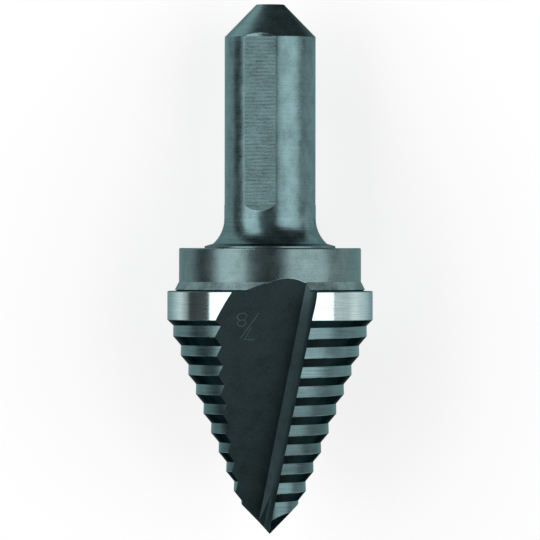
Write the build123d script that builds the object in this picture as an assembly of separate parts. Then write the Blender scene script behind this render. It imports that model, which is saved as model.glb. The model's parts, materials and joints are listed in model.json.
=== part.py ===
from build123d import *
import os
from math import atan2, cos, degrees, radians, sin, tan

# Step drill in one piece of tool steel: a round shank with three drive flats, a collar, a ring that cuts
# the largest hole, nine step lands and a pilot with a split point. Two straight flutes on opposite sides
# make the cutting edges. Millimetres and degrees.
#
# The drill is modelled upright, point down at the origin, and laid down at the end. Places around its axis
# are azimuths: 0 faces -Y, where the front flute opens, and 90 is +X.

# ---- shank ----
shank_diameter = 9.525
neck_diameter = 9.58
overall_length = 55.40
shank_end_diameter = 2.90
shank_cone_length = 3.40
neck_top = 34.40
flat_depth = 0.30
flat_bottom = 34.47
flat_runout_length = 0.63
flat_count = 3
first_flat_azimuth = -13.4

# ---- flare, boss and collar ----
flare_top = 33.0
flare_diameter = 11.94
boss_diameter = 13.70
boss_height = 0.45
boss_edge_height = 0.20
collar_diameter = 19.05
collar_top = 29.93
collar_rim_break = 0.10
collar_foot_width = 0.44
collar_foot_height = 0.84
foot_groove_height = 0.12
foot_groove_depth = 0.15

# ---- cutting diameters: the ring, then equal steps down to the pilot ----
ring_diameter = 22.225
diameter_step = 1.5875
step_count = 9
ring_top = 25.44
ring_bottom = 22.43
ring_edge_break = 0.08
pilot_top = 3.45
step_pitch = 2.0225
chamfer_rise = 0.90

# ---- radial relief: each land is a circle whose centre is shifted towards its cutting edge ----
land_centre_shift = 0.16
ring_centre_shift = 0.32
edge_azimuth = 22.0
relief_lead = 57.0

# ---- axial relief: each step land is tipped, so that its cutting edge is nearer the point ----
axial_relief = 0.20
axial_relief_lead = 84.0

# ---- flutes: one section, carried along a straight crease that leans out from the axis ----
crease_side = -1.42
crease_front = -1.03
crease_side_angle = 11.145
crease_front_angle = 20.406
floor_azimuth = 11.1
strip_angle = 40.0
strip_width = 1.90
strip_wall_radius = 2.00
wall_hook = 4.0

# ---- notch that splits the point ----
notch_side = 0.046
notch_front = 0.075
notch_side_angle = 11.073
notch_front_angle = 21.157
notch_floor_angle = 37.4
notch_floor_width = 1.84
notch_height = 3.95

# ---- point: a lip facet and a steeper clearance facet on each side ----
lip_facet_azimuth = 56.5
lip_facet_slope = 38.0
clearance_facet_azimuth = 89.0
clearance_facet_slope = 46.6

# ---- worked out from the sizes above ----
shank_radius = shank_diameter / 2
collar_radius = collar_diameter / 2
foot_radius = collar_radius + collar_foot_width
foot_bottom = ring_top + foot_groove_height
boss_top = collar_top + boss_height
cone_start = overall_length - shank_cone_length
land_length = step_pitch - chamfer_rise
shift_azimuth = edge_azimuth - relief_lead
tip_azimuth = edge_azimuth - axial_relief_lead
split_azimuth = edge_azimuth - relief_lead / 2
reach = 2 * ring_diameter
below_tip = 1.0
settling_rounds = 12


def around(azimuth, radius, height=0.0):
    """The point at an azimuth, a distance from the axis and a height above the point of the drill."""
    return Vector(radius * sin(radians(azimuth)), -radius * cos(radians(azimuth)), height)


def turned(profile):
    """The solid that a closed profile of (radius, height) points sweeps around the drill's axis."""
    face = make_face(Plane.XZ * Polyline(*profile, close=True))
    return revolve(face, Axis.Z)


def shank_and_collar():
    """Shank, neck, flare, boss and collar, with the groove over the ring, turned about the drill's axis."""
    with BuildPart() as turned_part:
        with BuildSketch(Plane.XZ):
            with BuildLine():
                Polyline(
                    (0, ring_top),
                    (foot_radius - foot_groove_depth, ring_top),
                    (foot_radius - foot_groove_depth, foot_bottom),
                    (foot_radius, foot_bottom),
                    (collar_radius, foot_bottom + collar_foot_height),
                    (collar_radius, collar_top - collar_rim_break),
                    (collar_radius - collar_rim_break, collar_top),
                    (boss_diameter / 2, collar_top),
                    (boss_diameter / 2, collar_top + boss_edge_height),
                    (flare_diameter / 2, boss_top),
                )
                TangentArc(
                    (neck_diameter / 2, flare_top), (flare_diameter / 2, boss_top), tangent=(0, -1)
                )
                Polyline(
                    (neck_diameter / 2, flare_top),
                    (neck_diameter / 2, neck_top),
                    (shank_radius, neck_top),
                    (shank_radius, cone_start),
                    (shank_end_diameter / 2, overall_length),
                    (0, overall_length),
                    (0, ring_top),
                )
            make_face()
        revolve(axis=Axis.Z)
    return turned_part.part


def land_radius(diameter, centre_shift):
    """Radius of a land's own shifted circle, which reaches the cutting diameter at the cutting edge."""
    return diameter / 2 - centre_shift * cos(radians(relief_lead))


def pilot():
    """The pilot, a plain round on its shifted axis, whose end is ground away later."""
    radius = land_radius(ring_diameter - (step_count + 1) * diameter_step, land_centre_shift)
    profile = [(0, 0), (radius, 0), (radius, pilot_top + chamfer_rise), (0, pilot_top + chamfer_rise)]
    return Pos(around(shift_azimuth, land_centre_shift)) * turned(profile)


def step_land(step):
    """A land and the chamfer under it, as one disc on a shifted and tipped axis; the first is the smallest."""
    radius = land_radius(ring_diameter - (step_count + 1 - step) * diameter_step, land_centre_shift)
    bottom = pilot_top + chamfer_rise + (step - 1) * step_pitch
    profile = [
        (0, -2 * chamfer_rise),
        (radius - diameter_step, -2 * chamfer_rise),
        (radius, 0),
        (radius, land_length + chamfer_rise),
        (0, land_length + chamfer_rise),
    ]
    tip = axial_relief / radius
    centre = around(shift_azimuth, land_centre_shift, bottom)
    return Plane(origin=centre, z_dir=around(tip_azimuth, sin(tip), cos(tip))) * turned(profile)


def ring():
    """The ring, whose lower chamfer carries on inwards until it is inside the largest land."""
    radius = land_radius(ring_diameter, ring_centre_shift)
    last_land_top = pilot_top + step_count * step_pitch
    chamfer_bottom = ring_bottom - 2 * (ring_bottom - last_land_top)
    profile = [
        (0, chamfer_bottom),
        (radius - diameter_step, chamfer_bottom),
        (radius, ring_bottom),
        (radius, ring_top - ring_edge_break),
        (radius - ring_edge_break, ring_top),
        (0, ring_top),
    ]
    return Pos(around(shift_azimuth, ring_centre_shift)) * turned(profile)


def relieved_cone():
    """Pilot, lands and ring: each side has its own shifted circles, and the sides meet inside the flutes."""
    steps = pilot() + ring() + [step_land(step) for step in range(1, step_count + 1)]
    one_side = Box(reach, 2 * reach, 2 * reach, align=(Align.MIN, Align.CENTER, Align.CENTER))
    right = steps & (Rot(0, 0, split_azimuth) * one_side)
    return right + Rot(0, 0, 180) * right


def section(points):
    """Flat face through (side, front) points, at the height of the point."""
    return make_face(Polyline(*[(side, -front) for side, front in points], close=True))


def groove(face, side_angle, front_angle, low, high):
    """A section carried from a low height to a high one, leaning out by two angles from upright."""
    lean = Vector(tan(radians(side_angle)), -tan(radians(front_angle)), 1)
    return Pos(lean * low) * Solid.extrude(face.face(), lean * (high - low))


def flute():
    """Flat floor, a strip that rises from the crease, a hollow, and a slightly hooked cutting wall."""
    floor_side = crease_side - reach * cos(radians(floor_azimuth))
    floor_front = crease_front + reach * sin(radians(floor_azimuth))
    corner_side = crease_side + strip_width * cos(radians(strip_angle))
    corner_front = crease_front + strip_width * sin(radians(strip_angle))
    wall_side = corner_side - reach * sin(radians(wall_hook))
    wall_front = corner_front + reach * cos(radians(wall_hook))
    points = [
        (crease_side, crease_front),
        (corner_side, corner_front),
        (wall_side, wall_front),
        (floor_side, wall_front),
        (floor_side, floor_front),
    ]
    face = section(points)
    corner = face.vertices().sort_by_distance((corner_side, -corner_front, 0))[0]
    face = fillet(corner, strip_wall_radius)
    return groove(face, crease_side_angle, crease_front_angle, -below_tip, overall_length)


def point_notch():
    """Notch under the strip that brings the lip in to the middle of the point."""
    floor_side = notch_side - notch_floor_width * cos(radians(notch_floor_angle))
    floor_front = notch_front - notch_floor_width * sin(radians(notch_floor_angle))
    wall_side = notch_side - reach * sin(radians(wall_hook))
    wall_front = notch_front + reach * cos(radians(wall_hook))
    points = [
        (notch_side, notch_front),
        (wall_side, wall_front),
        (floor_side, wall_front),
        (floor_side, floor_front),
    ]
    return groove(section(points), notch_side_angle, notch_front_angle, -below_tip, notch_height)


def facet(azimuth, slope):
    """Everything under a plane through the point that climbs at a slope towards an azimuth."""
    normal = around(azimuth, -sin(radians(slope)), cos(radians(slope)))
    under = Box(reach, reach, reach, align=(Align.CENTER, Align.CENTER, Align.MAX))
    return Plane(origin=(0, 0, 0), z_dir=normal) * under


def drive_flat():
    """Cutter for the front flat, whose lower end slopes out to the surface of the shank."""
    flat = shank_radius - flat_depth
    profile = [
        (flat, overall_length + shank_diameter),
        (flat, flat_bottom),
        (flat + flat_depth, flat_bottom - flat_runout_length),
        (flat + 2 * flat_depth, flat_bottom - 2 * flat_runout_length),
        (flat + 2 * flat_depth, overall_length + shank_diameter),
    ]
    face = make_face(Plane.YZ * Polyline(*[(-out, height) for out, height in profile], close=True))
    return extrude(face, amount=shank_diameter, both=True)


def upright_drill():
    """The whole drill, point down at the origin."""
    body = relieved_cone() + shank_and_collar()
    for half_turn in (0, 180):
        side = Rot(0, 0, half_turn)
        body -= side * flute()
        body -= side * point_notch()
        body -= side * facet(lip_facet_azimuth, lip_facet_slope)
        body -= side * facet(clearance_facet_azimuth, clearance_facet_slope)
    for index in range(flat_count):
        body -= Rot(0, 0, first_flat_azimuth + index * 360 / flat_count) * drive_flat()
    return body


def lying_down(drill):
    """The drill laid on its back flute, on one corner at each side of the flute and on the rim behind."""
    back = [Vector(v.X, v.Y, v.Z) for v in drill.vertices() if v.Y > 0 and v.Z < ring_top]
    rims = [(collar_radius, collar_top - collar_rim_break), (shank_radius, cone_start)]
    up = Vector(0, -1, 0)
    for _ in range(settling_rounds):
        edge = min((v for v in back if v.X < 0), key=lambda v: v.dot(up))
        heel = min((v for v in back if v.X > 0), key=lambda v: v.dot(up))
        under = degrees(atan2(-up.X, up.Y))
        rear = min((around(under, *rim) for rim in rims), key=lambda v: v.dot(up))
        up = (heel - edge).cross(rear - edge).normalized()
    shank_way = Vector(0, 0, 1) - up * up.Z
    laid = Plane(origin=(0, 0, 0), x_dir=shank_way.cross(up), z_dir=up).location.inverse() * drill
    box = laid.bounding_box()
    return Pos(-box.center().X, -box.center().Y, -box.min.Z) * laid


os.makedirs("parts", exist_ok=True)
step_drill = lying_down(upright_drill())
step_drill.label = "step_drill"
export_step(step_drill, "parts/step_drill.step")
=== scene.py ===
import json
import math
import bmesh
import bpy
import numpy as np
from mathutils import Matrix, Vector


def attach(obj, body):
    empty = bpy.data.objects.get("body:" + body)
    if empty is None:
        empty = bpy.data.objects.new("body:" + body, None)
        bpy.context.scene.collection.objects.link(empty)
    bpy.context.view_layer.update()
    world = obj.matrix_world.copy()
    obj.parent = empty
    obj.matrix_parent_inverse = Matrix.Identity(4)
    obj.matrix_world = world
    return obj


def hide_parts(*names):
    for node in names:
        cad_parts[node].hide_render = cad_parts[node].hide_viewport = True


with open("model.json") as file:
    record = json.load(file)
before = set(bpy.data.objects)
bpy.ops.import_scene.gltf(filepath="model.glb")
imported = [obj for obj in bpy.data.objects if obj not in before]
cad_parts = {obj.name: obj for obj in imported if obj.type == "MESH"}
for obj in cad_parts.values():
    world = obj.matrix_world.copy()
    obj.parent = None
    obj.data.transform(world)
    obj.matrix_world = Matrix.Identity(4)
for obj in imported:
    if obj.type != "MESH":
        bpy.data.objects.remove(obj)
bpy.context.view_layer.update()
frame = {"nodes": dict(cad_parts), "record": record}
print("step drill: frame loaded")

# Sizes of the drill in its own frame: millimetres above the point, radii, and degrees around the axis
drillSizes = dict(
    coneStart=52.0, neckTop=34.40, flareTop=33.0, flareArcRadius=3.4986, bossTop=30.38, bossRadius=6.85,
    collarTop=29.93, footTop=26.40, footBottom=25.56, ringTop=25.44, ringBottom=22.43, pilotTop=3.45,
    flatRadius=4.4625, flatStart=33.84, flatEnd=34.47, flatAzimuths=(-13.4, 106.6, 226.6),
    landShift=0.16, ringShift=0.32, shiftAzimuth=-35.0, landSplit=-6.5)

# The flute's section at the point as (side, front), and how far it leans out for each millimetre up
fluteSizes = dict(
    lean=(0.197, 0.372), crease=(-1.42, -1.03), floorAngle=168.9, stripAngle=40.0, stripWidth=1.90,
    hollowRadius=2.0, hollowReach=2.2446, hollowAngle=157.0, wallAngle=94.0)
notchSizes = dict(
    lean=(0.1957, 0.387), corner=(0.046, 0.075), floorAngle=217.4, wallAngle=94.0, top=4.1)
pointFacets = ((56.5, 38.0), (89.0, 46.6))  # azimuth and slope: the lip facet, then the clearance facet


def readPlaces(mesh):
    # a mesh's vertices as rows of x, y and z
    places = np.zeros(len(mesh.vertices) * 3)
    mesh.vertices.foreach_get("co", places)
    return places.reshape(-1, 3)


# The drill's own axes: the shank way runs from the point to the shank, and the flute opens to the front
mounts = {mount["name"]: mount for mount in frame["record"]["mounts"]}
shankWay = np.array(mounts["shank"]["axis"])
flatWay = np.array(mounts["top_drive_flat"]["axis"])
flatTurn = math.radians(drillSizes["flatAzimuths"][0])
besideFlat = np.cross(shankWay, flatWay)
frontWay = math.cos(flatTurn) * flatWay - math.sin(flatTurn) * besideFlat
sideWay = math.sin(flatTurn) * flatWay + math.cos(flatTurn) * besideFlat
cadDrill = frame["nodes"]["step_drill"]
cadPlaces = readPlaces(cadDrill.data)
tipPoint = cadPlaces[cadPlaces[:, 1].argmin()]  # the drill lies along y, with its point at the low end
drillTurn = Matrix((sideWay, shankWay, frontWay)).transposed().to_euler()

# Steel finishes, some with painted light: shade is how much light comes back, rim how much of it is left
# at a grazing angle, and the rest is how strong each pattern in it is; tone is (height, factor) along the
# axis; on the zones marked below, shade and tone also hold painted highlight and painted shade
steelTint = dict(blue=(0.62, 1.0, 1.05), grey=(0.68, 1.0, 1.03), bright=(0.78, 1.0, 1.02),
                 rim=(0.72, 1.0, 1.02))
steelFinishesAndPaintedLight = dict(
    # painted highlight: the edge facets are lighter than the steel on either side, on top of the light the
    # real bevel catches
    edge=dict(tint="grey", shade=0.34, rim=0.5, roughness=0.28, mottle=0.20),
    floor=dict(tint="blue", shade=0.080, rim=0.5, roughness=0.50, grain=0.30, mottle=0.16),
    # painted light: the strip's tone makes it lighter towards the point and much lighter at its top end
    strip=dict(tint="blue", shade=0.072, rim=0.5, roughness=0.42, rings=0.06, grain=0.20, mottle=0.20,
               tone=((1.5, 1.5), (5, 1.15), (9, 1.0), (22, 1.0), (25.5, 1.9))),
    # painted shade: the hollow's tone makes it darker towards the point
    hollow=dict(tint="blue", shade=0.100, rim=0.8, roughness=0.60, rings=0.08, grain=0.18, mottle=0.20,
                tone=((2, 0.55), (4, 0.65), (6, 1.0), (25.5, 1.0))),
    # painted shade: the notch and the facets at the point are far darker than the rest of the steel
    notch=dict(tint="blue", shade=0.033, rim=0.4, roughness=0.40, rings=0.12, grain=0.14, mottle=0.20),
    facet=dict(tint="blue", shade=0.040, rim=0.3, roughness=0.40, rings=0.20, grain=0.10, mottle=0.20),
    # painted shade: the chamfers, which face the point, are far darker than the lands of the same steel
    chamfer=dict(tint="blue", shade=0.036, rim=0.3, roughness=0.36, rings=0.20, grain=0.14,
                 mottle=0.30),
    land=dict(tint="blue", shade=0.200, rim=0.95, roughness=0.32, rings=0.34, grain=0.12, mottle=0.16,
              tone=((1.5, 0.85), (3.6, 0.85), (5.0, 0.92), (6.7, 0.56), (8.6, 0.60), (10.8, 0.70),
                    (12.6, 0.62), (14.5, 0.80), (17, 1.08), (20.5, 1.0))),
    ring=dict(tint="bright", shade=0.76, rim=0.5, roughness=0.12, rings=0.18, grain=0.04, mottle=0.06),
    ringFace=dict(tint="grey", shade=0.20, rim=0.5, roughness=0.30, rings=0.10, mottle=0.10),
    # painted shade: the narrow groove between the foot and the ring is nearly black
    groove=dict(tint="blue", shade=0.030, rim=0.3, roughness=0.45, mottle=0.30),
    collar=dict(tint="grey", shade=0.215, rim=0.85, roughness=0.30, rings=0.12, grain=0.18,
                mottle=0.24),
    # painted light: the foot is about twice as light as the collar of the same steel, where the lamps
    # barely reach it
    foot=dict(tint="grey", shade=0.46, rim=0.3, roughness=0.46, rings=0.10, grain=0.24, mottle=0.40),
    boss=dict(tint="grey", shade=0.26, rim=0.6, roughness=0.30, rings=0.15, mottle=0.20),
    flare=dict(tint="blue", shade=0.245, rim=0.75, roughness=0.29, rings=0.25, grain=0.10, mottle=0.35),
    shank=dict(tint="blue", shade=0.225, rim=0.95, roughness=0.30, rings=0.12, grain=0.20, mottle=0.34),
    flat=dict(tint="blue", shade=0.245, rim=0.5, roughness=0.36, milling=0.12, chatter=0.36, grain=0.26,
              mottle=0.18),
    # painted light: the cone is lighter than the shank of the same steel
    cone=dict(tint="blue", shade=0.36, rim=0.6, roughness=0.30, rings=0.18, grain=0.16, mottle=0.20),
    end=dict(tint="blue", shade=0.24, rim=0.5, roughness=0.34, rings=0.15, grain=0.10, mottle=0.20),
    mark=dict(tint="grey", shade=0.195, rim=0.5, roughness=0.50, grain=0.30, mottle=0.30))
# Patterns on the steel: size along side, height and front in millimetres, detail and its coarseness
patterns = dict(
    rings=dict(size=(5.0, 0.13, 5.0), detail=4, coarse=0.60),
    milling=dict(size=(1.2, 1.2, 1.2), detail=2, coarse=0.50, waver=1.1),
    chatter=dict(size=(1.4, 0.17, 1.4), detail=4, coarse=0.70),
    grain=dict(size=(0.15, 0.15, 0.15), detail=3, coarse=0.60),
    mottle=dict(size=(1.3, 1.9, 1.3), detail=5, coarse=0.62))
groundBump = dict(strength=0.22, height=4e-6)
roughSwing = 0.5  # how much of a finish's roughness follows its patterns
nodeGap = dict(across=200, down=260)


def addNode(tree, kind, label, column, row=0):
    node = tree.nodes.new(kind)
    node.label = label
    node.location = (column * nodeGap["across"], -row * nodeGap["down"])
    return node


def calculate(tree, operation, label, column, row, *values):
    # a Math node whose inputs are numbers or sockets; gives back its result
    node = addNode(tree, "ShaderNodeMath", label, column, row)
    node.operation = operation
    for socket, value in zip(node.inputs, values):
        if isinstance(value, bpy.types.NodeSocket):
            tree.links.new(value, socket)
        else:
            socket.default_value = value
    return node.outputs[0]


def makeSteel(name, look):
    # brightness = shade x tone along the axis x (1 + the sum of strength x (pattern from -1 to 1))
    material = bpy.data.materials.new("steel_" + name)
    material.use_nodes = True
    tree = material.node_tree
    shader = tree.nodes["Principled BSDF"]
    shader.inputs["Metallic"].default_value = 1.0
    rimColour = [look["rim"] * level for level in steelTint["rim"]]
    shader.inputs["Specular Tint"].default_value = rimColour + [1]
    coordinates = addNode(tree, "ShaderNodeTexCoord", "on the drill", -8)
    place = addNode(tree, "ShaderNodeMapping", "side, height, front in mm", -7)
    place.vector_type = "TEXTURE"
    place.inputs["Location"].default_value = tipPoint
    place.inputs["Rotation"].default_value = drillTurn
    place.inputs["Scale"].default_value = (0.001, 0.001, 0.001)
    tree.links.new(coordinates.outputs["Object"], place.inputs["Vector"])
    total = 1.0
    for row, (kind, pattern) in enumerate(patterns.items()):
        if kind not in look:
            continue
        size = addNode(tree, "ShaderNodeMapping", kind + " size", -6, row)
        size.inputs["Scale"].default_value = [1 / length for length in pattern["size"]]
        tree.links.new(place.outputs["Vector"], size.inputs["Vector"])
        isWave = "waver" in pattern
        texture = addNode(tree, "ShaderNodeTexWave" if isWave else "ShaderNodeTexNoise", kind, -5, row)
        texture.inputs["Scale"].default_value = 1.0
        texture.inputs["Detail"].default_value = pattern["detail"]
        texture.inputs["Detail Roughness" if isWave else "Roughness"].default_value = pattern["coarse"]
        if isWave:
            texture.bands_direction = "Y"
            texture.inputs["Distortion"].default_value = pattern["waver"]
        tree.links.new(size.outputs["Vector"], texture.inputs["Vector"])
        swing = 2 if isWave else 4  # a wave runs from 0 to 1, a noise mostly from 0.25 to 0.75
        part = calculate(tree, "MULTIPLY_ADD", kind + " strength", -4, row, texture.outputs["Fac"],
                         look[kind] * swing, -look[kind] * swing / 2)
        total = calculate(tree, "ADD", "sum", -3, row, part, total)
    bright = calculate(tree, "MULTIPLY", "shade", -2, 0, total, look["shade"])
    if "tone" in look:
        parts = addNode(tree, "ShaderNodeSeparateXYZ", "height", -6, 5)
        tree.links.new(place.outputs["Vector"], parts.inputs["Vector"])
        low, high = look["tone"][0][0], look["tone"][-1][0]
        share = calculate(tree, "MULTIPLY_ADD", "share of the height", -5, 5, parts.outputs["Y"],
                          1 / (high - low), -low / (high - low))
        ramp = addNode(tree, "ShaderNodeValToRGB", "tone along the axis", -4, 5)
        fillRamp(ramp, [((height - low) / (high - low), tone / 2) for height, tone in look["tone"]])
        tree.links.new(share, ramp.inputs["Fac"])
        tone = calculate(tree, "MULTIPLY", "tone", -3, 5, ramp.outputs["Color"], 2.0)
        bright = calculate(tree, "MULTIPLY", "toned shade", -1, 0, bright, tone)
    colour = addNode(tree, "ShaderNodeVectorMath", "steel colour", -1, 1)
    colour.operation = "SCALE"
    colour.inputs[0].default_value = steelTint[look["tint"]]
    tree.links.new(bright, colour.inputs["Scale"])
    tree.links.new(colour.outputs[0], shader.inputs["Base Color"])
    rough = calculate(tree, "MULTIPLY_ADD", "roughness", -1, 2, total, look["roughness"] * roughSwing,
                      look["roughness"] * (1 - roughSwing))
    tree.links.new(rough, shader.inputs["Roughness"])
    bump = addNode(tree, "ShaderNodeBump", "ground surface", -1, 3)
    bump.inputs["Strength"].default_value = groundBump["strength"]
    bump.inputs["Distance"].default_value = groundBump["height"]
    tree.links.new(total, bump.inputs["Height"])
    tree.links.new(bump.outputs["Normal"], shader.inputs["Normal"])
    return material


def fillRamp(ramp, stops):
    # a Color Ramp node's grey stops as (place from 0 to 1, level)
    elements = ramp.color_ramp.elements
    while len(elements) < len(stops):
        elements.new(0.5)
    for element, (place, level) in zip(elements, stops):
        element.position = place
        element.color = (level, level, level, 1)


steelMaterials = {name: makeSteel(name, look) for name, look in steelFinishesAndPaintedLight.items()}
print("step drill: finishes made")

# The drill's mesh, in metres: doubles closer than mergeWithin are merged, and edges over edgeAngle degrees
# are cut back by edgeBreak; those of flutes and flats, which run along the axis by more than the share
# longEdge, stay sharp
meshFinish = dict(mergeWithin=1.2e-5, edgeAngle=22, edgeBreak=3.0e-5, longEdge=0.3)
sliverArea = 0.002  # square millimetres, under which a triangle's normal isn't trusted
nearZero = 1e-12
# Limits for the zones: the rise of a normal along the axis, its least match with a surface's own normal,
# and how near the surface a triangle is in millimetres
riseLimits = dict(level=0.12, chamfer=-0.5, shoulder=0.3, cone=0.4, end=0.97, runOut=0.1)
matchLimits = dict(groove=0.997, facet=0.999, flat=0.999, runOut=0.7, acrossFlute=0.14)
nearLimits = dict(
    neck=0.05, hollowEdge=0.02, wallEdge=0.01, turned=0.01, ringTop=0.005, ringFace=0.09, bossEdge=0.15,
    pilot=0.3, flat=0.004, facet=0.02, arc=0.04, arcDegrees=2, wall=0.02, floor=0.03, notch=0.02)
zoneNames = [name for name in steelFinishesAndPaintedLight if name != "mark"]
zoneIndex = {name: index for index, name in enumerate(zoneNames)}


def toDrill(points):
    # row frame metres to (side, front, height) in millimetres from the point
    moved = (points - tipPoint) * 1000
    return np.stack([moved @ sideWay, moved @ frontWay, moved @ shankWay], axis=1)


def toRow(directions):
    # (side, front, height) directions back to the row frame
    return directions @ np.stack([sideWay, frontWay, shankWay])


def unit(angle):
    # direction in a section at an angle from side towards front, degrees
    return np.array([math.cos(math.radians(angle)), math.sin(math.radians(angle))])


def halfTurned(points, sign):
    # the same half a turn round the axis when sign is -1
    return points * np.array([sign, sign, 1])


def inSection(places, sizes, start):
    # places moved down along the groove's lean to the section at the point, from one of its corners
    return places[:, :2] - places[:, 2:] * np.array(sizes["lean"]) - np.array(start)


def hollowCorner():
    # where strip and cutting wall would meet without the arc, in the section at the point
    return np.array(fluteSizes["crease"]) + fluteSizes["stripWidth"] * unit(fluteSizes["stripAngle"])


def hollowCentre():
    # centre of the arc between strip and cutting wall, in the section at the point
    return hollowCorner() + fluteSizes["hollowReach"] * unit(fluteSizes["hollowAngle"])


def onHollow(places):
    # whether places lie on the arc of a flute's hollow or on its cutting wall
    found = np.zeros(len(places), bool)
    for sign in (1, -1):
        there = halfTurned(places, sign)
        away = inSection(there, fluteSizes, hollowCentre())
        across = inSection(there, fluteSizes, hollowCorner()) @ unit(fluteSizes["wallAngle"] + 90)
        offArc = np.abs(np.linalg.norm(away, axis=1) - fluteSizes["hollowRadius"])
        found |= (offArc < nearLimits["hollowEdge"]) | (np.abs(across) < nearLimits["wallEdge"])
    return found


def mergedCopy():
    # the solid's mesh with doubles merged and its turned edges cut back by a facet
    shape = bmesh.new()
    shape.from_mesh(cadDrill.data)
    bmesh.ops.remove_doubles(shape, verts=shape.verts, dist=meshFinish["mergeWithin"])
    for face in shape.faces:
        face.material_index = 0
    mesh = bpy.data.meshes.new("step_drill_ground")
    shape.to_mesh(mesh)
    shape.verts.index_update()
    inHollow = onHollow(toDrill(readPlaces(mesh)))
    sharpAngle = math.radians(meshFinish["edgeAngle"])
    axis = Vector(shankWay)
    sharp = []
    for edge in shape.edges:
        if not edge.is_convex or edge.calc_face_angle(0) < sharpAngle:
            continue
        start, end = edge.verts
        if inHollow[start.index] and inHollow[end.index]:
            continue
        height = (start.co - Vector(tipPoint)).dot(axis) * 1000
        isLong = abs((end.co - start.co).normalized().dot(axis)) > meshFinish["longEdge"]
        onFlute = isLong and height < drillSizes["ringBottom"]
        onFlat = isLong and drillSizes["flatStart"] < height < drillSizes["coneStart"]
        onNeckStep = abs(height - drillSizes["neckTop"]) < nearLimits["neck"]
        if not (onFlute or onFlat or onNeckStep):
            sharp.append(edge)
    bmesh.ops.bevel(shape, geom=sharp, offset=meshFinish["edgeBreak"], offset_type="OFFSET", segments=1,
                    profile=0.5, affect="EDGES", clamp_overlap=False, material=1)
    bmesh.ops.triangulate(shape, faces=shape.faces)
    shape.to_mesh(mesh)
    shape.free()
    return mesh


def readFaces(mesh):
    # triangle corners, centres, areas and unit normals in the drill's frame
    corners = toDrill(readPlaces(mesh))
    triangles = np.zeros(len(mesh.loops), np.int32)
    mesh.loops.foreach_get("vertex_index", triangles)
    triangles = triangles.reshape(-1, 3)
    a, b, c = (corners[triangles[:, k]] for k in range(3))
    crossed = np.cross(c - a, b - a)  # side, front and height are a left-handed set
    twiceArea = np.linalg.norm(crossed, axis=1)
    normals = crossed / np.maximum(twiceArea, nearZero)[:, None]
    return corners, triangles, (a + b + c) / 3, twiceArea / 2, normals


def onPlane(places, normals, sizes, start, angle, within):
    # whether triangles lie on a groove's plane through a corner: near it in the section, turned with it
    flat = unit(angle + 90)
    across = inSection(places, sizes, start) @ flat
    tilted = np.array([flat[0], flat[1], -flat @ np.array(sizes["lean"])])
    tilted /= np.linalg.norm(tilted)
    return (np.abs(across) < within) & (np.abs(normals @ tilted) > matchLimits["groove"])


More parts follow.
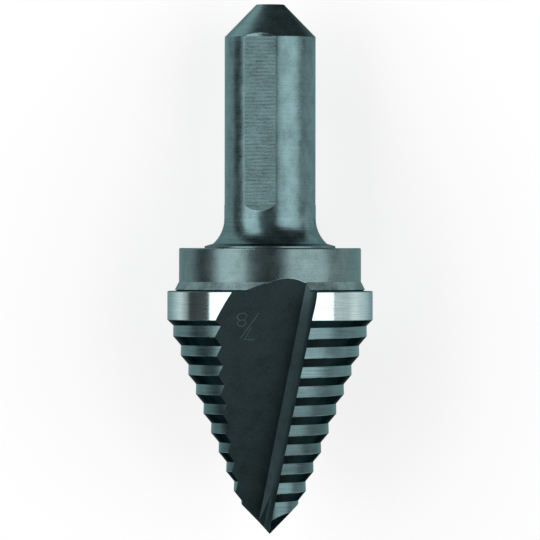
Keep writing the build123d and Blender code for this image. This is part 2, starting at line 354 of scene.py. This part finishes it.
def sortIntoZones(centres, normals, isEdge, isSliver):
    # zone number of every triangle, from its height, its distance from the axis and its normal
    s = drillSizes
    near = nearLimits
    height = centres[:, 2]
    radius = np.hypot(centres[:, 0], centres[:, 1])
    rise = normals[:, 2]
    level = np.abs(rise) < riseLimits["level"]
    isChamfer = rise < riseLimits["chamfer"]
    isShoulder = rise > riseLimits["shoulder"]
    underRing = height < s["ringBottom"]
    onRing = (height > s["ringBottom"]) & (height < s["ringTop"])
    onFoot = height >= s["footBottom"] + near["turned"]
    onCollar = height >= s["footTop"] + near["turned"]
    zone = np.full(len(centres), zoneIndex["facet"])
    turnedZones = (
        ("land", underRing & level),
        ("chamfer", (height > s["pilotTop"] - near["pilot"]) & underRing & isChamfer),
        ("ring", onRing & level),
        ("ringFace", (np.abs(height - s["ringTop"]) < near["ringFace"]) & isShoulder),
        ("groove", (height > s["ringTop"] + near["ringTop"]) & ~onFoot),
        ("foot", onFoot & ~onCollar),
        ("collar", onCollar),
        ("boss", (height > s["collarTop"] - near["bossEdge"]) & isShoulder),
        ("boss", (height > s["collarTop"]) & (radius < s["bossRadius"] + near["turned"])),
        ("flare", (height > s["bossTop"]) & (height < s["flareTop"])),
        ("shank", height > s["flareTop"]),
        ("cone", (height > s["coneStart"]) & (rise > riseLimits["cone"])),
        ("end", (height > s["coneStart"]) & (rise > riseLimits["end"])))
    for name, picked in turnedZones:
        zone[picked] = zoneIndex[name]
    onShank = (height > s["flatStart"]) & (height < s["coneStart"])
    for azimuth in s["flatAzimuths"]:
        out = np.array([math.sin(math.radians(azimuth)), math.cos(math.radians(azimuth)), 0])
        facingOut = normals @ out
        onFlat = np.abs(centres @ out - s["flatRadius"]) < near["flat"]
        onFlat &= facingOut > matchLimits["flat"]
        onRunOut = (height < s["flatEnd"]) & (rise > riseLimits["runOut"])
        onRunOut &= facingOut > matchLimits["runOut"]
        zone[onShank & (onFlat | onRunOut)] = zoneIndex["flat"]
    for sign in (1, -1):
        there, facing = halfTurned(centres, sign), halfTurned(normals, sign)
        for azimuth, slope in pointFacets:
            out = unit(90 - azimuth) * math.sin(math.radians(slope))
            normal = np.array([out[0], out[1], -math.cos(math.radians(slope))])
            onFacet = (np.abs(there @ normal) < near["facet"]) & (facing @ normal > matchLimits["facet"])
            zone[onFacet] = zoneIndex["facet"]
        alongLean = np.abs(facing @ np.array([*fluteSizes["lean"], 1])) < matchLimits["acrossFlute"]
        away = inSection(there, fluteSizes, hollowCentre())
        angle = np.degrees(np.arctan2(away[:, 1], away[:, 0]))
        onArc = np.abs(np.hypot(away[:, 0], away[:, 1]) - fluteSizes["hollowRadius"]) < near["arc"]
        onArc &= angle > fluteSizes["stripAngle"] - 90 - near["arcDegrees"]
        onArc &= angle < fluteSizes["wallAngle"] - 90 + near["arcDegrees"]
        onWall = onPlane(there, facing, fluteSizes, hollowCorner(), fluteSizes["wallAngle"], near["wall"])
        zone[(alongLean | isSliver) & (onArc | onWall)] = zoneIndex["hollow"]
        for name in ("floor", "strip"):
            surfaceAngle = fluteSizes[name + "Angle"]
            found = onPlane(there, facing, fluteSizes, fluteSizes["crease"], surfaceAngle, near["floor"])
            zone[found] = zoneIndex[name]
        for name in ("floorAngle", "wallAngle"):
            notched = onPlane(there, facing, notchSizes, notchSizes["corner"], notchSizes[name],
                              near["notch"])
            zone[notched & (height < notchSizes["top"])] = zoneIndex["notch"]
    zone[isEdge] = zoneIndex["edge"]
    return zone


def radialNormals(places, shift, azimuth, rise):
    # normals of a round about a shifted axis: away from that axis, lifted by the slope's rise
    out = places[:, :2] - shift * unit(90 - azimuth)
    out /= np.maximum(np.linalg.norm(out, axis=1), nearZero)[:, None]
    flat = np.sqrt(np.maximum(1 - rise ** 2, 0))
    return np.stack([out[:, 0] * flat, out[:, 1] * flat, rise], axis=1)


def hollowNormals(places):
    # towards the arc's centre in the section, its angle kept between strip and wall, and leaned back
    away = inSection(places, fluteSizes, hollowCentre())
    angle = np.arctan2(away[:, 1], away[:, 0])
    lowest, highest = fluteSizes["stripAngle"] - 90, fluteSizes["wallAngle"] - 90
    angle = np.clip(angle, math.radians(lowest), math.radians(highest))
    out = np.stack([-np.cos(angle), -np.sin(angle)], axis=1)
    normals = np.concatenate([out, -(out @ np.array(fluteSizes["lean"]))[:, None]], axis=1)
    return normals / np.linalg.norm(normals, axis=1)[:, None]


def cornerNormals(corners, triangles, normals, zone):
    # normals of each triangle corner: exact on turned rounds and hollows, the triangle's own on planes
    s = drillSizes
    result = np.repeat(normals[:, None, :], 3, axis=1)
    for name in ("shank", "collar", "cone", "flare", "foot", "boss", "groove"):
        picked = np.where(zone == zoneIndex[name])[0]
        spots = corners[triangles[picked]].reshape(-1, 3)
        rise = np.repeat(normals[picked, 2], 3)
        if name in ("shank", "collar"):
            rise = np.zeros(len(spots))
        if name == "cone":
            rise = np.full(len(spots), np.median(normals[picked, 2]))
        if name == "flare":
            rise = np.clip((s["flareTop"] - spots[:, 2]) / s["flareArcRadius"], 0, 1)
        result[picked] = radialNormals(spots, 0, 0, rise).reshape(-1, 3, 3)
    # lands, chamfers and ring: each side of the drill is ground about its own shifted axis
    shifts = dict(land=s["landShift"], chamfer=s["landShift"], ring=s["ringShift"])
    for name, shift in shifts.items():
        picked = np.where(zone == zoneIndex[name])[0]
        spots = corners[triangles[picked]]
        middle = np.repeat(spots.mean(axis=1), 3, axis=0)
        spots = spots.reshape(-1, 3)
        rise = np.repeat(normals[picked, 2], 3)
        azimuth = np.degrees(np.arctan2(middle[:, 0], middle[:, 1]))
        onRight = (azimuth > s["landSplit"]) & (azimuth < s["landSplit"] + 180)
        right = radialNormals(spots, shift, s["shiftAzimuth"], rise)
        left = radialNormals(spots, shift, s["shiftAzimuth"] + 180, rise)
        result[picked] = np.where(onRight[:, None], right, left).reshape(-1, 3, 3)
    # hollows: those of the front flute are on the side of the axis that its strip faces
    picked = np.where(zone == zoneIndex["hollow"])[0]
    middle = corners[triangles[picked]].mean(axis=1)
    frontFlute = middle[:, :2] @ unit(fluteSizes["stripAngle"] + 90) > 0
    for sign, here in ((1, picked[frontFlute]), (-1, picked[~frontFlute])):
        spots = halfTurned(corners[triangles[here]].reshape(-1, 3), sign)
        result[here] = halfTurned(hollowNormals(spots), sign).reshape(-1, 3, 3)
    return result.reshape(-1, 3)


def groundDrill():
    # the drill's one visible piece: merged mesh, a finish for each zone with painted light and shade on
    # some, exact normals
    mesh = mergedCopy()
    isEdge = np.zeros(len(mesh.polygons), np.int32)
    mesh.polygons.foreach_get("material_index", isEdge)
    corners, triangles, centres, areas, normals = readFaces(mesh)
    zone = sortIntoZones(centres, normals, isEdge == 1, areas < sliverArea)
    mesh.materials.clear()
    for name in zoneNames:
        mesh.materials.append(steelMaterials[name])
    mesh.polygons.foreach_set("material_index", zone.astype(np.int32))
    mesh.polygons.foreach_set("use_smooth", np.ones(len(mesh.polygons), bool))
    mesh.normals_split_custom_set(toRow(cornerNormals(corners, triangles, normals, zone)).tolist())
    piece = bpy.data.objects.new("step_drill_ground", mesh)
    bpy.context.scene.collection.objects.link(piece)
    for name in zoneNames:
        inZone = zone == zoneIndex[name]
        area = round(float(areas[inZone].sum()), 1)
        print("  zone", name, int(inZone.sum()), "triangles", area, "mm2")
    return piece


drill = groundDrill()
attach(drill, "root")
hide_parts("step_drill")
print("step drill: mesh made")

# The size mark on the flute floor, a plain fraction of an inch: places are millimetres away from the
# crease and up the drill, and the strokes are fine ridges
markSizes = dict(width=0.11, topShare=0.7, proud=0.012, sunk=0.02, loopPoints=40)
markLoops = (
    dict(centre=(6.08, 22.84), half=(0.50, 0.36)),
    dict(centre=(5.99, 22.16), half=(0.44, 0.32)))
markLines = (
    ((4.38, 23.22), (5.79, 20.60)),
    ((4.83, 21.80), (5.36, 20.46), (4.35, 20.42), (4.33, 20.62)))


def loopPath(centre, half):
    # an ellipse: centre + (half width x cos, half height x sin)
    turn = np.linspace(0, 2 * math.pi, markSizes["loopPoints"], endpoint=False)
    return np.stack([centre[0] + half[0] * np.cos(turn), centre[1] + half[1] * np.sin(turn)], axis=1)


def ridge(path, isClosed):
    # a four-sided strip along a path: the path + width across it + height off the flute floor
    if isClosed:
        ahead = np.roll(path, -1, axis=0) - np.roll(path, 1, axis=0)
    else:
        ahead = np.gradient(path, axis=0)
    ahead /= np.linalg.norm(ahead, axis=1)[:, None]
    across = np.stack([-ahead[:, 1], ahead[:, 0]], axis=1) * markSizes["width"] / 2
    flat = unit(fluteSizes["floorAngle"])
    lean = np.array([*fluteSizes["lean"], 1])
    outward = np.cross(np.array([flat[0], flat[1], 0]), lean)
    outward /= np.linalg.norm(outward)
    top, proud, sunk = markSizes["topShare"], markSizes["proud"], markSizes["sunk"]
    corners = []
    for sideways, height in ((-1, -sunk), (-top, proud), (top, proud), (1, -sunk)):
        spot = path + across * sideways
        onFloor = spot[:, :1] * np.array([flat[0], flat[1], 0]) + spot[:, 1:] * lean
        corners.append(onFloor + outward * height)
    points = np.stack(corners, axis=1) + np.array([*fluteSizes["crease"], 0])
    count = len(path)
    index = np.arange(count * 4).reshape(count, 4)
    steps = np.arange(count if isClosed else count - 1)
    here, onward = index[steps], index[(steps + 1) % count]
    faces = np.stack([here, np.roll(here, -1, axis=1), np.roll(onward, -1, axis=1), onward], axis=2)
    faces = faces.reshape(-1, 4).tolist()
    if not isClosed:
        faces += [index[0][::-1].tolist(), index[-1].tolist()]
    return tipPoint + toRow(points.reshape(-1, 3)) / 1000, faces


def sizeMark():
    # all strokes of the mark as one mesh
    strokes = [ridge(loopPath(**loop), True) for loop in markLoops]
    strokes += [ridge(np.array(line), False) for line in markLines]
    places, faces = [], []
    for points, strokeFaces in strokes:
        start = sum(len(earlier) for earlier in places)
        places.append(points)
        faces += [[corner + start for corner in face] for face in strokeFaces]
    mesh = bpy.data.meshes.new("size_mark")
    mesh.from_pydata(np.concatenate(places).tolist(), [], faces)
    shape = bmesh.new()
    shape.from_mesh(mesh)
    bmesh.ops.recalc_face_normals(shape, faces=shape.faces)
    shape.to_mesh(mesh)
    shape.free()
    mesh.materials.append(steelMaterials["mark"])
    piece = bpy.data.objects.new("size_mark", mesh)
    bpy.context.scene.collection.objects.link(piece)
    return piece


mark = sizeMark()
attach(mark, "root")
print("step drill: size mark made")

# The studio: levels of 1 are white, azimuths are degrees from straight above towards the right
studio = dict(floorHalf=0.6, floorShade=0.42, floorRoughness=0.9, floorGlow=0.70, worldShade=0.07)
# Painted reflection: the glow the floor shows only to gloss, which polished steel mirrors as bands:
# (millimetres to the right of the drill, level)
glossOnlyFloorGlow = (
    (-100, 0.06), (-80, 0.08), (-60, 0.36), (-48, 0.50), (-34, 0.84), (-21, 0.62), (-11, 0.80), (0, 0.50),
    (12, 0.75), (22, 0.72), (32, 0.74), (46, 0.84), (100, 0.60))
# Where that painted glow fades past the shank's side in millimetres along y, and how far its painted
# contact shadow reaches
glossGlowEnds = dict(right=(20, 34), left=(42, 62), contact=0.014)
panels = dict(
    right=dict(azimuth=48, halfAngle=28, distance=0.40, length=0.50, past=0.00, radiance=1.65),
    rightWall=dict(azimuth=83, halfAngle=6, distance=0.40, length=0.50, past=0.00, radiance=0.55),
    left=dict(azimuth=-49, halfAngle=21, distance=0.40, length=0.80, past=0.13, radiance=1.9))
# The camera in metres: its picture is 540 pixels wide, of 0.10467 mm each; heights are up the drill in mm
view = dict(
    distance=0.6804, frameWidth=540 * 0.10467e-3, sensorWidth=36, clipStart=0.01, footHeight=29.94,
    aimHeight=27.63, lean=0.05)


def makeFloor():
    # to the camera it glows evenly and takes shadows, and in gloss it is a painted strip of light and dark
    # with a painted contact shadow
    half = studio["floorHalf"]
    mesh = bpy.data.meshes.new("floor")
    corners = [(-half, -half, 0), (half, -half, 0), (half, half, 0), (-half, half, 0)]
    mesh.from_pydata(corners, [], [(0, 1, 2, 3)])
    floor = bpy.data.objects.new("floor", mesh)
    bpy.context.scene.collection.objects.link(floor)
    material = bpy.data.materials.new("pale_floor")
    material.use_nodes = True
    tree = material.node_tree
    shader = tree.nodes["Principled BSDF"]
    shader.inputs["Roughness"].default_value = studio["floorRoughness"]
    shader.inputs["Specular IOR Level"].default_value = 0.0
    shader.inputs["Emission Color"].default_value = (1, 1, 1, 1)
    path = addNode(tree, "ShaderNodeLightPath", "seen by", -8)
    spot = addNode(tree, "ShaderNodeTexCoord", "place on the floor", -8, 2)
    parts = addNode(tree, "ShaderNodeSeparateXYZ", "right and along", -7, 2)
    tree.links.new(spot.outputs["Object"], parts.inputs["Vector"])
    low, high = glossOnlyFloorGlow[0][0], glossOnlyFloorGlow[-1][0]
    reach = (high - low) / 1000
    share = calculate(tree, "MULTIPLY_ADD", "share across", -6, 2, parts.outputs["X"], 1 / reach,
                      -low / 1000 / reach)
    ramp = addNode(tree, "ShaderNodeValToRGB", "light across the floor", -5, 2)
    fillRamp(ramp, [((right - low) / (high - low), shade) for right, shade in glossOnlyFloorGlow])
    tree.links.new(share, ramp.inputs["Fac"])
    fades = []
    for row, side in enumerate(("left", "right")):
        fade = addNode(tree, "ShaderNodeMapRange", side + " fade past the shank", -6, 3 + row)
        fade.interpolation_type = "SMOOTHSTEP"
        fade.inputs["From Min"].default_value = glossGlowEnds[side][0] / 1000
        fade.inputs["From Max"].default_value = glossGlowEnds[side][1] / 1000
        fade.inputs["To Min"].default_value = 1.0
        fade.inputs["To Max"].default_value = studio["worldShade"]
        tree.links.new(parts.outputs["Y"], fade.inputs["Value"])
        fades.append(fade.outputs["Result"])
    onRight = calculate(tree, "GREATER_THAN", "right half", -6, 5, parts.outputs["X"], 0.0)
    faded = addNode(tree, "ShaderNodeMix", "fade of this half", -5, 4)
    tree.links.new(onRight, faded.inputs["Factor"])
    tree.links.new(fades[0], faded.inputs["A"])
    tree.links.new(fades[1], faded.inputs["B"])
    # painted contact shadow: ambient occlusion darkens the floor's glow beside the drill, as the steel
    # sees it
    contact = addNode(tree, "ShaderNodeAmbientOcclusion", "dark beside the drill", -5, 6)
    contact.inputs["Distance"].default_value = glossGlowEnds["contact"]
    paintedReflection = calculate(tree, "MULTIPLY", "faded", -4, 3, ramp.outputs["Color"],
                         faded.outputs["Result"])
    paintedReflection = calculate(tree, "MULTIPLY", "with contact", -3, 3, paintedReflection, contact.outputs["AO"])
    paintedReflection = calculate(tree, "MULTIPLY", "in gloss", -2, 3, paintedReflection, path.outputs["Is Glossy Ray"])
    seen = calculate(tree, "MULTIPLY", "to the camera", -2, 1, path.outputs["Is Camera Ray"],
                     studio["floorGlow"])
    glow = calculate(tree, "ADD", "glow", -1, 2, paintedReflection, seen)
    tree.links.new(glow, shader.inputs["Emission Strength"])
    notGloss = calculate(tree, "SUBTRACT", "not in gloss", -2, 0, 1.0, path.outputs["Is Glossy Ray"])
    colour = addNode(tree, "ShaderNodeVectorMath", "floor colour", -1, 0)
    colour.operation = "SCALE"
    colour.inputs[0].default_value = (studio["floorShade"],) * 3
    tree.links.new(notGloss, colour.inputs["Scale"])
    tree.links.new(colour.outputs[0], shader.inputs["Base Color"])
    mesh.materials.append(material)


def makePanel(name, panel):
    # a flat lamp that faces the drill; its power for a radiance is radiance x pi x its area
    lamp = bpy.data.lights.new(name, "AREA")
    lamp.shape = "RECTANGLE"
    lamp.size = 2 * panel["distance"] * math.tan(math.radians(panel["halfAngle"]))
    lamp.size_y = panel["length"]
    lamp.energy = panel["radiance"] * math.pi * lamp.size * lamp.size_y
    turn = math.radians(panel["azimuth"])
    lampObject = bpy.data.objects.new(name, lamp)
    right, up = math.sin(turn) * panel["distance"], math.cos(turn) * panel["distance"]
    lampObject.location = (right, panel["past"], up)
    lampObject.rotation_euler = (0, turn, 0)
    lampObject.visible_camera = False
    bpy.context.scene.collection.objects.link(lampObject)


def makeWorld():
    # white to the camera, dim in the steel
    world = bpy.data.worlds.new("studio")
    bpy.context.scene.world = world
    world.use_nodes = True
    tree = world.node_tree
    background = tree.nodes["Background"]
    background.inputs["Color"].default_value = (1, 1, 1, 1)
    path = addNode(tree, "ShaderNodeLightPath", "seen by", -3)
    strength = addNode(tree, "ShaderNodeMapRange", "white to the camera", -2)
    strength.inputs["To Min"].default_value = studio["worldShade"]
    strength.inputs["To Max"].default_value = 1.0
    tree.links.new(path.outputs["Is Camera Ray"], strength.inputs["Value"])
    tree.links.new(strength.outputs["Result"], background.inputs["Strength"])


def makeCamera():
    # square to the drill's axis above it, with the shank at the top of the picture
    camera = bpy.data.cameras.new("camera")
    camera.sensor_width = view["sensorWidth"]
    camera.lens = camera.sensor_width * view["distance"] / view["frameWidth"]
    camera.clip_start = view["clipStart"]
    cameraObject = bpy.data.objects.new("camera", camera)
    foot = tipPoint + shankWay * view["footHeight"] / 1000
    aim = tipPoint + shankWay * view["aimHeight"] / 1000
    place = foot + frontWay * view["distance"]
    backWay = Vector(place - aim).normalized()
    acrossWay = Vector(shankWay).cross(backWay).normalized()
    topWay = backWay.cross(acrossWay)
    lean = math.radians(view["lean"])
    acrossWay, topWay = (acrossWay * math.cos(lean) + topWay * math.sin(lean),
                         topWay * math.cos(lean) - acrossWay * math.sin(lean))
    turned = Matrix((acrossWay, topWay, backWay)).transposed().to_4x4()
    cameraObject.matrix_world = Matrix.Translation(Vector(place)) @ turned
    bpy.context.scene.collection.objects.link(cameraObject)
    bpy.context.scene.camera = cameraObject


makeFloor()
for name, panel in panels.items():
    makePanel(name + "Panel", panel)
makeWorld()
makeCamera()
bpy.context.scene.view_settings.view_transform = "Standard"
print("step drill: studio set")
